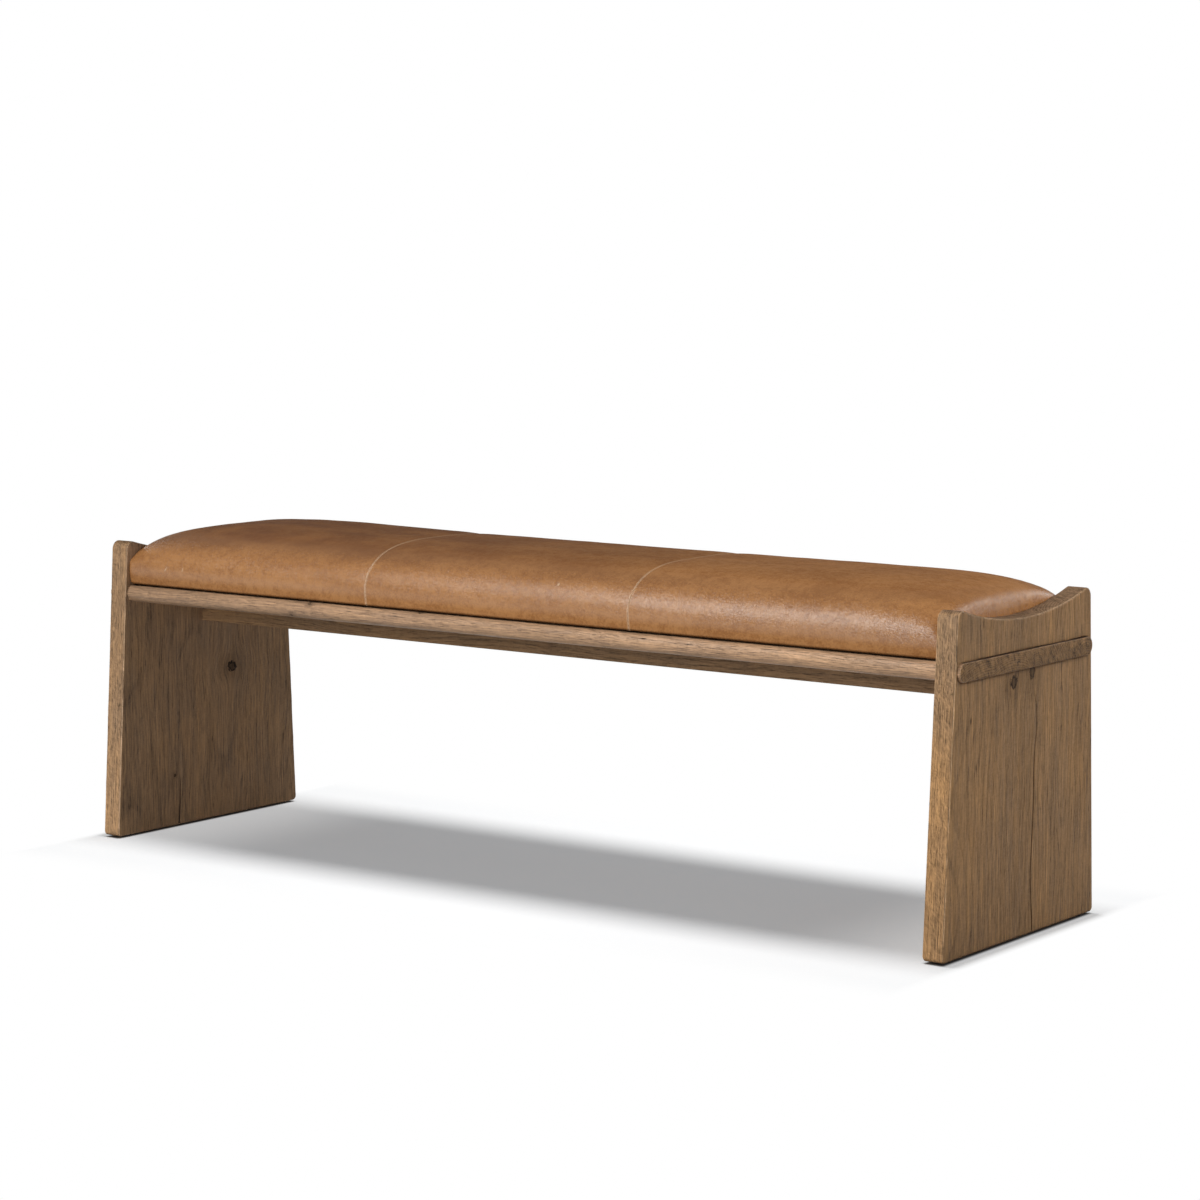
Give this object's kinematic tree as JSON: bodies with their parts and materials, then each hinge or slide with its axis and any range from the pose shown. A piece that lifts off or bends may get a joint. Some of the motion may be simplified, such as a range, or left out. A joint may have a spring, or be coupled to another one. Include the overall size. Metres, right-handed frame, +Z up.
{
  "type": "accent bench",
  "caption": "Low bench with tapered wooden slab ends, a seat board that passes through them, a rail below and a crowned leather pad with cross seams.",
  "frame": {"origin": "on the floor, under the middle of the bench", "axes": "+X along the bench to the right seen from the front, -Y to the front, +Z up"},
  "size_m": [1.524, 0.4258, 0.4929],
  "materials": {
    "oak": "satin",
    "dowel_wood": "matte",
    "plywood": "matte",
    "leather": "satin",
    "thread": "matte",
    "backing_tape": "matte",
    "foam": "matte",
    "wadding": "matte",
    "dust_cloth": "matte",
    "steel": "satin",
    "glide_plastic": "matte"
  },
  "bodies": {
    "root": {"left_end_panel": "oak", "right_end_panel": "oak", "seat_board": "oak", "centre_rail": "oak", "rail_dowels": "dowel_wood", "rail_screws": "steel", "pad_bolts": "steel", "pad_bolt_washers": "steel", "pad_tee_nuts": "steel", "pad_base": "plywood", "pad_foam": "foam", "pad_wadding": "wadding", "cover_left_panel": "leather", "cover_middle_panel": "leather", "cover_right_panel": "leather", "left_seam_thread": "thread", "right_seam_thread": "thread", "left_seam_tape": "backing_tape", "right_seam_tape": "backing_tape", "cover_staples": "steel", "dust_cover": "dust_cloth", "front_left_glide": "glide_plastic", "front_right_glide": "glide_plastic", "back_left_glide": "glide_plastic", "back_right_glide": "glide_plastic", "glide_nails": "steel"}
  },
  "joints": []
}
